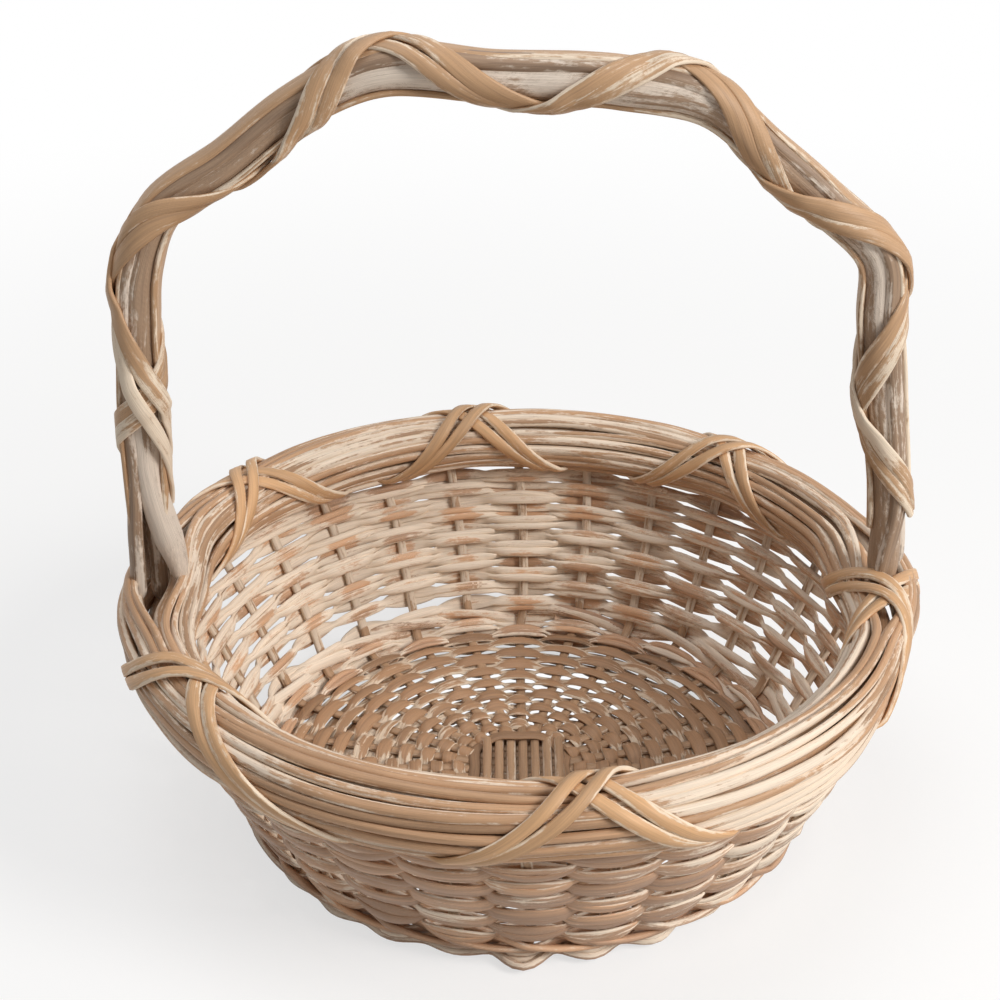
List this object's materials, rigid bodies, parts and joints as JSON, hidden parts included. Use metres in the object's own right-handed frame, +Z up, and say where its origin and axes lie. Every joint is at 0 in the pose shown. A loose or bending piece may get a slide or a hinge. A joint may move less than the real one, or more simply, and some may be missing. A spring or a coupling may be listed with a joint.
{
  "type": "gathering basket",
  "caption": "Round gathering basket of woven whitewashed willow, with a rolled rim crossed by split-willow lashings and one fixed bow handle wound with split rods.",
  "frame": {"origin": "middle of the underside, on the surface that the basket stands on", "axes": "+Z up, +X towards the handle's right foot as the picture shows it, +Y away from the picture's camera"},
  "size_m": [0.3689, 0.3699, 0.3624],
  "materials": {
    "stake_willow": "split willow with a thin rubbed white wash, matt",
    "weave_willow": "split willow with a rubbed white wash over tan, matt",
    "base_splint": "fine brown splint with a little wash, matt",
    "rim_willow": "willow rods with a streaked white wash, satin",
    "lashing_willow": "split willow, tan with little wash, satin",
    "handle_willow": "thick peeled willow, greyed and washed, matt"
  },
  "bodies": {
    "root": {"crosswise_stick_1": "stake_willow", "crosswise_stick_2": "stake_willow", "crosswise_stick_3": "stake_willow", "crosswise_stick_4": "stake_willow", "crosswise_stick_5": "stake_willow", "crosswise_stick_6": "stake_willow", "crosswise_stick_7": "stake_willow", "lengthwise_stick_1": "stake_willow", "lengthwise_stick_2": "stake_willow", "lengthwise_stick_3": "stake_willow", "lengthwise_stick_4": "stake_willow", "lengthwise_stick_5": "stake_willow", "lengthwise_stick_6": "stake_willow", "lengthwise_stick_7": "stake_willow", "base_band_1": "base_splint", "base_band_2": "base_splint", "base_band_3": "base_splint", "base_band_4": "base_splint", "foot_ring": "weave_willow", "corner_row": "weave_willow", "side_row_01": "weave_willow", "side_row_02": "weave_willow", "side_row_03": "weave_willow", "side_row_04": "weave_willow", "side_row_05": "weave_willow", "side_row_06": "weave_willow", "side_row_07": "weave_willow", "side_row_08": "weave_willow", "side_row_09": "weave_willow", "side_row_10": "weave_willow", "side_row_11": "weave_willow", "rim_rod_outer_1": "rim_willow", "rim_rod_inner_1": "rim_willow", "rim_rod_outer_2": "rim_willow", "rim_rod_inner_2": "rim_willow", "rim_rod_outer_3": "rim_willow", "rim_rod_inner_3": "rim_willow", "rim_rod_outer_4": "rim_willow", "rim_rod_inner_4": "rim_willow", "lashing_over_front": "lashing_willow", "lashing_under_front": "lashing_willow", "lashing_over_right": "lashing_willow", "lashing_under_right": "lashing_willow", "lashing_over_back_right": "lashing_willow", "lashing_under_back_right": "lashing_willow", "lashing_over_back": "lashing_willow", "lashing_under_back": "lashing_willow", "lashing_over_left_back": "lashing_willow", "lashing_under_left_back": "lashing_willow", "lashing_over_left_front": "lashing_willow", "lashing_under_left_front": "lashing_willow", "handle_bow": "handle_willow", "handle_lath": "lashing_willow", "handle_wrap_first_1": "lashing_willow", "handle_wrap_first_2": "lashing_willow", "handle_wrap_second_1": "lashing_willow", "handle_wrap_second_2": "lashing_willow"}
  },
  "joints": []
}
